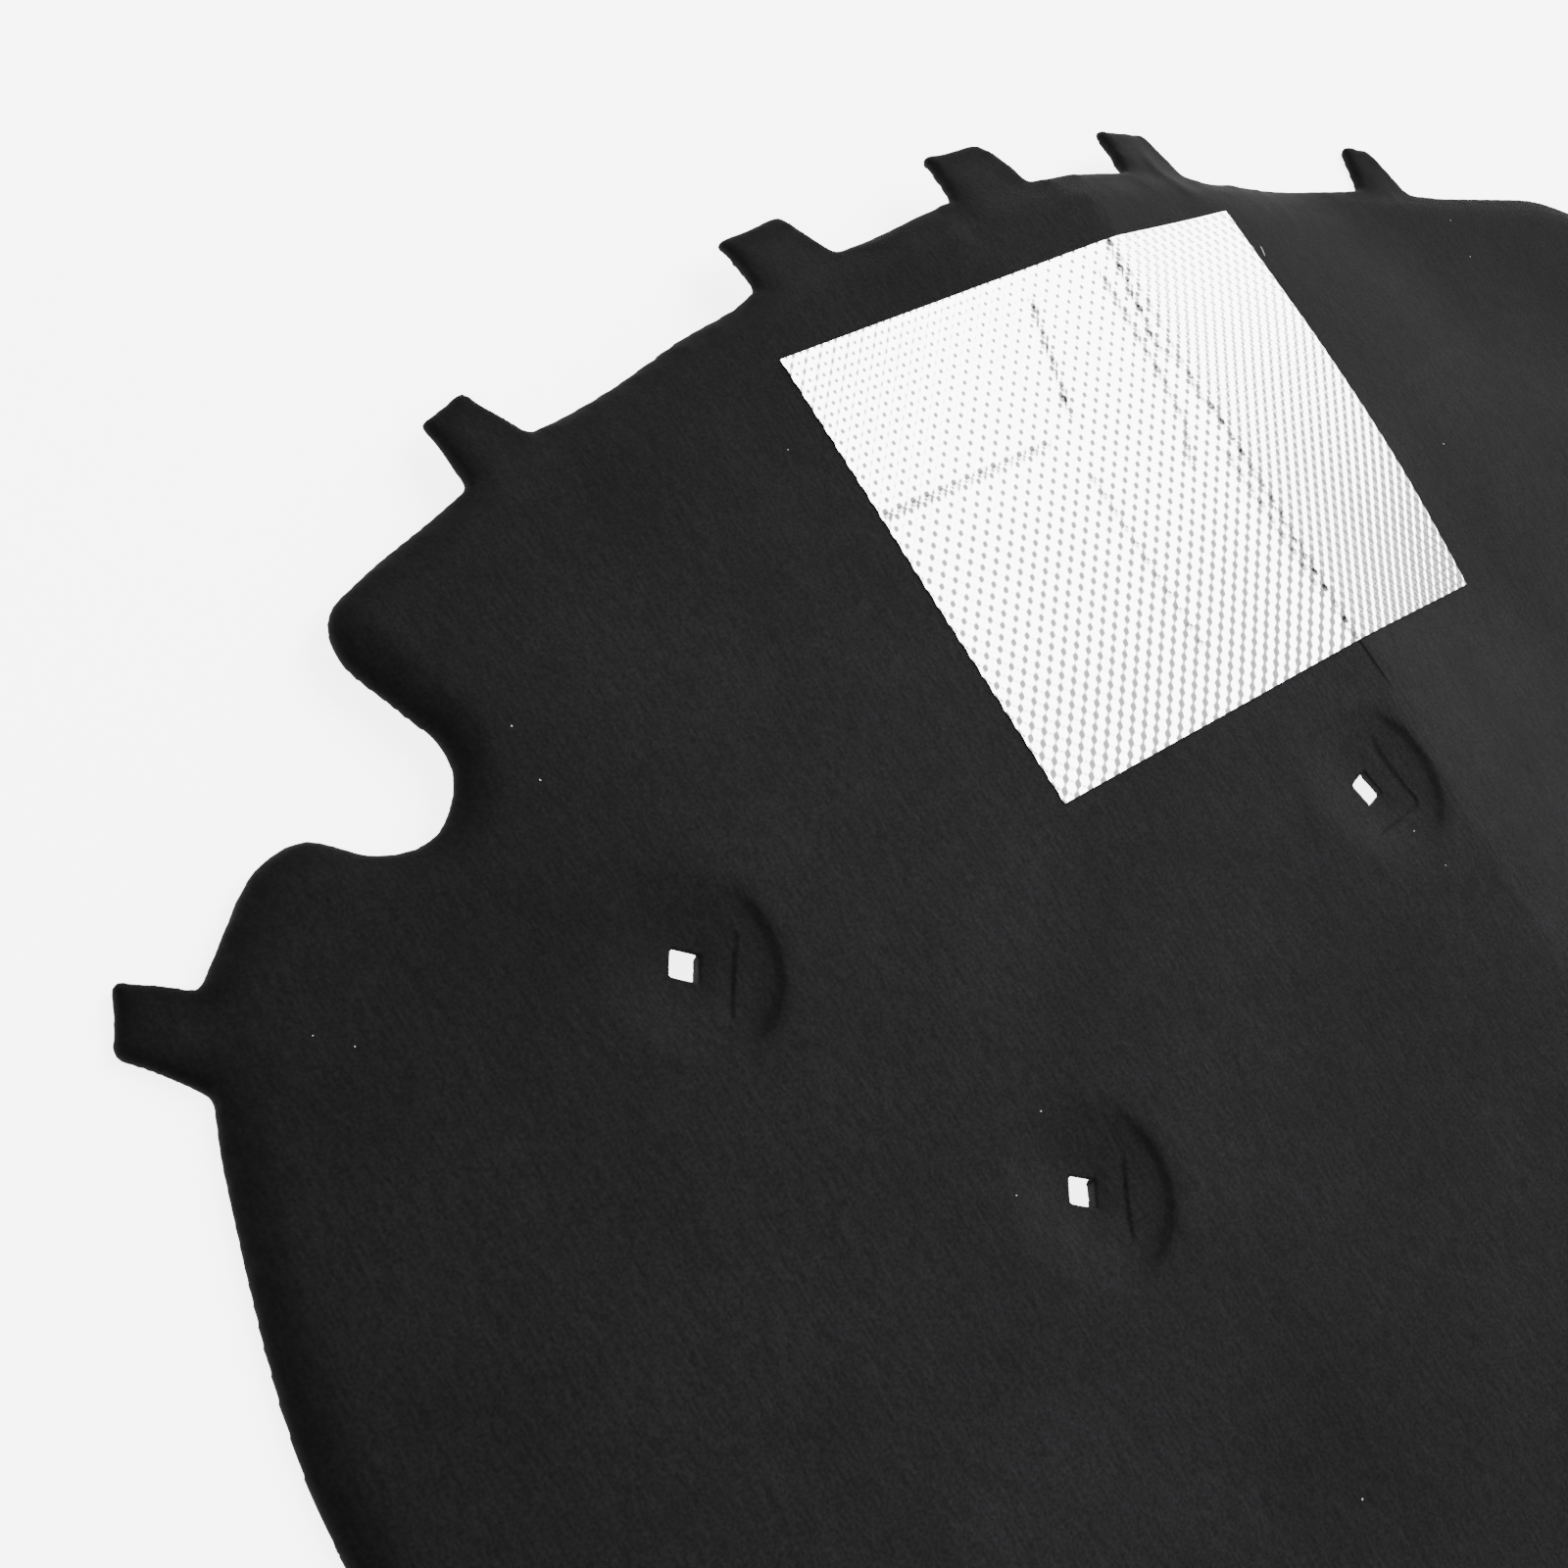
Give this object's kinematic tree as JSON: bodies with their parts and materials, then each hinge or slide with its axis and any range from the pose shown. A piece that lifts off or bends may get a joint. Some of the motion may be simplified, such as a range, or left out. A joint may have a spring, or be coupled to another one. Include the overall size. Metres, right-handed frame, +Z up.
{
  "type": "engine bay insulation pad",
  "caption": "Moulded felt insulation pad with retaining tabs, sunk square clip seats, a corner bay and an embossed foil patch, resting over its shipping fold.",
  "frame": {"origin": "centre of the panel's bounding box seen from above, on the floor it rests on", "axes": "+Y towards the edge with the front tabs, +Z up out of the face with the foil, +X to the right seen from above"},
  "size_m": [1.185, 0.858, 0.0479],
  "materials": {
    "felt_panel": "charcoal needle felt, moulded under heat",
    "foil_heat_shield": "thin foil with a fine square emboss"
  },
  "bodies": {
    "root": {"felt_panel": "felt_panel", "foil_heat_shield": "foil_heat_shield"}
  },
  "joints": []
}
